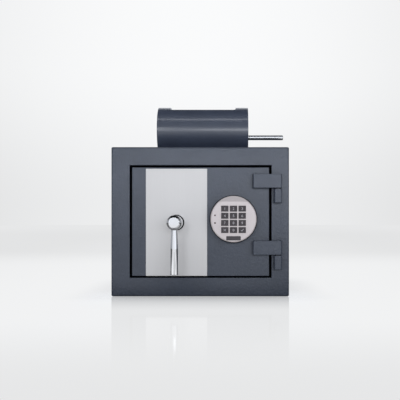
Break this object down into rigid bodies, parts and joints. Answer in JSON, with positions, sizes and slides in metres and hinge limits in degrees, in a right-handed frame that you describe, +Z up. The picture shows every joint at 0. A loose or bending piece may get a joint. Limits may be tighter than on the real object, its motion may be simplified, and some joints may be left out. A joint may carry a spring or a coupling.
{
  "type": "drop safe with rotary deposit drum",
  "caption": "Small steel drop safe: hinged door with keypad lock, lever handle and sliding bolts, and a rod-turned rotary deposit drum in a tube housing on the roof over a baffled chute.",
  "frame": {"origin": "centre of the underside of the cabinet, on the surface that the safe stands on", "axes": "+X to the right as seen from the front, +Y to the back, +Z up; the door faces -Y and the drum turns about X"},
  "size_m": [0.4, 0.451, 0.454],
  "materials": {
    "powder_coat": "slate grey-blue powder coat, fine texture",
    "inner_coat": "dark grey-blue powder coat",
    "brushed_panel": "fine vertical brushing",
    "chrome": "bright chrome plate",
    "stainless": "polished stainless bar",
    "bare_steel": "bright drawn steel, oiled",
    "zinc_plate": "dull zinc plate",
    "brass": "machined bearing brass",
    "keypad_silver": "satin warm silver",
    "key_rubber": "moulded silicone rubber",
    "black_plastic": "moulded black plastic",
    "badge_plate": "plain dark plate",
    "status_lens": "dark red lens",
    "circuit_board": "green solder mask"
  },
  "bodies": {
    "cabinet": {"body_shell": "powder_coat", "back_plate": "powder_coat", "front_frame": "powder_coat", "rebate_frame": "inner_coat", "drum_housing": "powder_coat", "housing_end_left": "powder_coat", "housing_end_right": "powder_coat", "drum_bushes": "brass", "chute_collar": "inner_coat", "baffle_plates": "inner_coat", "hinge_knuckles": "powder_coat", "hinge_pins": "bare_steel", "hinge_washers": "brass"},
    "deposit_drum": {"drum_shell": "inner_coat", "drum_disc_left": "inner_coat", "drum_disc_right": "inner_coat", "drum_rod": "stainless", "rod_nut": "zinc_plate"},
    "door": {"door_plate": "powder_coat", "fascia_panel": "brushed_panel", "hinge_leaves": "powder_coat", "bolt_box": "inner_coat", "box_cover": "inner_coat", "cover_screws": "zinc_plate", "dog_bolts": "bare_steel", "hard_plate": "bare_steel", "arm_guide": "brass", "lock_case": "zinc_plate", "keypad_base": "black_plastic", "keypad_cover": "keypad_silver", "keypad_badge": "badge_plate", "status_lenses": "status_lens", "key_mat": "key_rubber", "circuit_board": "circuit_board", "keypad_cable": "black_plastic", "spindle_bush": "black_plastic"},
    "bolt_carriage": {"bolt_bar": "bare_steel", "drive_arm": "bare_steel", "locking_bolts": "chrome", "bolt_screws": "zinc_plate"},
    "lever_handle": {"handle_hub": "chrome", "lever_arm": "chrome", "handle_spindle": "bare_steel", "drive_crank": "bare_steel", "crank_pin": "bare_steel", "spindle_clip": "zinc_plate"},
    "lock_bolt": {"lock_bolt": "brass"},
    "key_1": {"key_1": "key_rubber"},
    "key_2": {"key_2": "key_rubber"},
    "key_3": {"key_3": "key_rubber"},
    "key_4": {"key_4": "key_rubber"},
    "key_5": {"key_5": "key_rubber"},
    "key_6": {"key_6": "key_rubber"},
    "key_7": {"key_7": "key_rubber"},
    "key_8": {"key_8": "key_rubber"},
    "key_9": {"key_9": "key_rubber"},
    "key_clear": {"key_clear": "key_rubber"},
    "key_0": {"key_0": "key_rubber"},
    "key_enter": {"key_enter": "key_rubber"}
  },
  "joints": [
    {"name": "door_swing", "type": "hinge", "parent": "cabinet", "child": "door", "pos_m": [0.174, -0.2005, 0.168], "axis": [0, 0, 1], "range_deg": [0, 100]},
    {"name": "lever_turn", "type": "hinge", "parent": "door", "child": "lever_handle", "pos_m": [-0.0532, -0.22, 0.166], "axis": [0, 1, 0], "range_deg": [0, 90]},
    {"name": "bolt_throw", "type": "slide", "parent": "door", "child": "bolt_carriage", "axis": [-1, 0, 0], "range_m": [0, 0.02]},
    {"name": "lock_bolt_throw", "type": "slide", "parent": "door", "child": "lock_bolt", "axis": [0, 0, -1], "range_m": [0, 0.009]},
    {"name": "drum_turn", "type": "hinge", "parent": "cabinet", "child": "deposit_drum", "pos_m": [0, 0, 0.394], "axis": [-1, 0, 0], "range_deg": [0, 180]},
    {"name": "key_1_press", "type": "slide", "parent": "door", "child": "key_1", "axis": [0, 1, 0], "range_m": [0, 0.0012], "stiffness_N_per_m": 600},
    {"name": "key_2_press", "type": "slide", "parent": "door", "child": "key_2", "axis": [0, 1, 0], "range_m": [0, 0.0012], "stiffness_N_per_m": 600},
    {"name": "key_3_press", "type": "slide", "parent": "door", "child": "key_3", "axis": [0, 1, 0], "range_m": [0, 0.0012], "stiffness_N_per_m": 600},
    {"name": "key_4_press", "type": "slide", "parent": "door", "child": "key_4", "axis": [0, 1, 0], "range_m": [0, 0.0012], "stiffness_N_per_m": 600},
    {"name": "key_5_press", "type": "slide", "parent": "door", "child": "key_5", "axis": [0, 1, 0], "range_m": [0, 0.0012], "stiffness_N_per_m": 600},
    {"name": "key_6_press", "type": "slide", "parent": "door", "child": "key_6", "axis": [0, 1, 0], "range_m": [0, 0.0012], "stiffness_N_per_m": 600},
    {"name": "key_7_press", "type": "slide", "parent": "door", "child": "key_7", "axis": [0, 1, 0], "range_m": [0, 0.0012], "stiffness_N_per_m": 600},
    {"name": "key_8_press", "type": "slide", "parent": "door", "child": "key_8", "axis": [0, 1, 0], "range_m": [0, 0.0012], "stiffness_N_per_m": 600},
    {"name": "key_9_press", "type": "slide", "parent": "door", "child": "key_9", "axis": [0, 1, 0], "range_m": [0, 0.0012], "stiffness_N_per_m": 600},
    {"name": "key_clear_press", "type": "slide", "parent": "door", "child": "key_clear", "axis": [0, 1, 0], "range_m": [0, 0.0012], "stiffness_N_per_m": 600},
    {"name": "key_0_press", "type": "slide", "parent": "door", "child": "key_0", "axis": [0, 1, 0], "range_m": [0, 0.0012], "stiffness_N_per_m": 600},
    {"name": "key_enter_press", "type": "slide", "parent": "door", "child": "key_enter", "axis": [0, 1, 0], "range_m": [0, 0.0012], "stiffness_N_per_m": 600}
  ],
  "couplings": [
    {"joint": "bolt_throw", "follows": "lever_turn", "m_per_rad": 0.01273}
  ]
}
